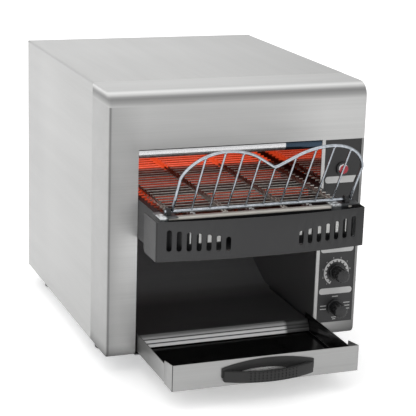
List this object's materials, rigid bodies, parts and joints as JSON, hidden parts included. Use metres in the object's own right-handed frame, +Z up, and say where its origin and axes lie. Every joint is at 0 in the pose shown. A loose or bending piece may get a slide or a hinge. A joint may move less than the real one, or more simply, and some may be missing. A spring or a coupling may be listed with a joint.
{
  "type": "conveyor toaster",
  "caption": "Countertop conveyor toaster: brushed steel cabinet, wire belt between glowing tubes, leaning wire rack, slotted front guard and a pull-out toast tray.",
  "frame": {"origin": "on the table under the middle of the whole machine", "axes": "+Z up, the front with the tray and the controls faces -Y, +X to the right as seen from the front"},
  "size_m": [0.37, 0.6094, 0.386],
  "materials": {
    "brushed_case": "horizontally brushed stainless steel",
    "galvanised": "plain galvanised sheet",
    "black_nylon": "black moulded plastic",
    "foot_rubber": "black rubber",
    "panel_black": "dark blue-black printed panel, satin",
    "polished_steel": "polished stainless steel",
    "liner_steel": "bright annealed stainless, mirror-like",
    "reflector_steel": "bright reflector sheet, heat tinted",
    "chute_steel": "bright stainless sheet",
    "rail_steel": "stainless sheet darkened by heat",
    "nose_paint": "grey-beige strip",
    "guard_paint": "black satin coating",
    "tube_glow": "quartz heating tube, glowing red",
    "belt_wire": "bright stainless wire",
    "bush_bronze": "sintered bronze",
    "shaft_steel": "turned steel",
    "motor_case": "dark painted gearmotor",
    "rack_chrome": "chromed wire",
    "handle_black": "black moulded plastic with small dimples",
    "knob_black": "black moulded plastic, semi-gloss",
    "button_red": "dark red button cap"
  },
  "bodies": {
    "cabinet": {"fascia": "brushed_case", "outer_wrap": "brushed_case", "base_plate": "galvanised", "rear_panel": "brushed_case", "cable_gland": "black_nylon", "foot_front_left": "foot_rubber", "foot_front_right": "foot_rubber", "foot_rear_left": "foot_rubber", "foot_rear_right": "foot_rubber", "control_plate": "panel_black", "opening_lip": "polished_steel", "liner_left": "liner_steel", "liner_right": "liner_steel", "ceiling_reflector": "reflector_steel", "lower_reflector": "reflector_steel", "rear_shield": "liner_steel", "chute": "chute_steel", "rail_left": "rail_steel", "rail_right": "rail_steel", "conveyor_pan": "liner_steel", "nose_strip": "nose_paint", "guard": "guard_paint", "guard_spacers": "polished_steel", "front_bracket_left": "polished_steel", "front_bracket_right": "polished_steel", "rack_clips": "black_nylon", "lower_tube_1": "tube_glow", "lower_tube_2": "tube_glow", "lower_tube_3": "tube_glow", "upper_tube_1": "tube_glow", "upper_tube_2": "tube_glow", "upper_tube_3": "tube_glow", "belt_upper_run": "belt_wire", "belt_lower_run": "belt_wire", "belt_front_turn": "belt_wire", "belt_rear_turn": "belt_wire", "shaft_bushes": "bush_bronze", "drive_chain": "shaft_steel", "motor": "motor_case", "tray_runners": "galvanised", "speed_control": "black_nylon", "power_switch": "black_nylon", "reset_socket": "black_nylon", "fan_frame": "black_nylon"},
    "rear_shaft": {"rear_shaft": "shaft_steel", "drive_wheel": "shaft_steel"},
    "front_shaft": {"front_shaft": "shaft_steel"},
    "motor_spindle": {"motor_spindle": "shaft_steel"},
    "fan_rotor": {"fan_rotor": "black_nylon"},
    "rack": {"rack_frame": "rack_chrome", "rack_rod": "rack_chrome"},
    "tray": {"tray_pan": "chute_steel", "tray_front": "polished_steel", "tray_handle": "handle_black"},
    "speed_knob": {"speed_knob": "knob_black"},
    "power_knob": {"power_knob": "knob_black"},
    "reset_cap": {"reset_cap": "button_red"}
  },
  "joints": [
    {"name": "rear_shaft_turn", "type": "hinge", "parent": "cabinet", "child": "rear_shaft", "pos_m": [-0.01175, 0.18535, 0.21866], "axis": [1, 0, 0], "continuous": true},
    {"name": "front_shaft_turn", "type": "hinge", "parent": "cabinet", "child": "front_shaft", "pos_m": [-0.01175, -0.20835, 0.21866], "axis": [1, 0, 0], "continuous": true},
    {"name": "motor_spindle_turn", "type": "hinge", "parent": "cabinet", "child": "motor_spindle", "pos_m": [0.145, 0.18535, 0.148], "axis": [1, 0, 0], "continuous": true},
    {"name": "fan_turn", "type": "hinge", "parent": "cabinet", "child": "fan_rotor", "pos_m": [0.152, 0.28165, 0.084], "axis": [0, 1, 0], "continuous": true},
    {"name": "rack_tilt", "type": "hinge", "parent": "cabinet", "child": "rack", "pos_m": [-0.0065, -0.23435, 0.251], "axis": [-1, 0, 0], "range_deg": [0, 61]},
    {"name": "tray_slide", "type": "slide", "parent": "cabinet", "child": "tray", "axis": [0, -1, 0], "range_m": [0, 0.13]},
    {"name": "speed_knob_turn", "type": "hinge", "parent": "cabinet", "child": "speed_knob", "pos_m": [0.1528, -0.14835, 0.1158], "axis": [0, -1, 0], "range_deg": [0, 270]},
    {"name": "power_knob_turn", "type": "hinge", "parent": "cabinet", "child": "power_knob", "pos_m": [0.1528, -0.14835, 0.064], "axis": [0, -1, 0], "range_deg": [0, 135]},
    {"name": "reset_press", "type": "slide", "parent": "cabinet", "child": "reset_cap", "axis": [0, 1, 0], "range_m": [0, 0.003], "stiffness_N_per_m": 600}
  ],
  "couplings": [
    {"joint": "front_shaft_turn", "follows": "rear_shaft_turn", "ratio": 1},
    {"joint": "motor_spindle_turn", "follows": "rear_shaft_turn", "ratio": 1}
  ]
}
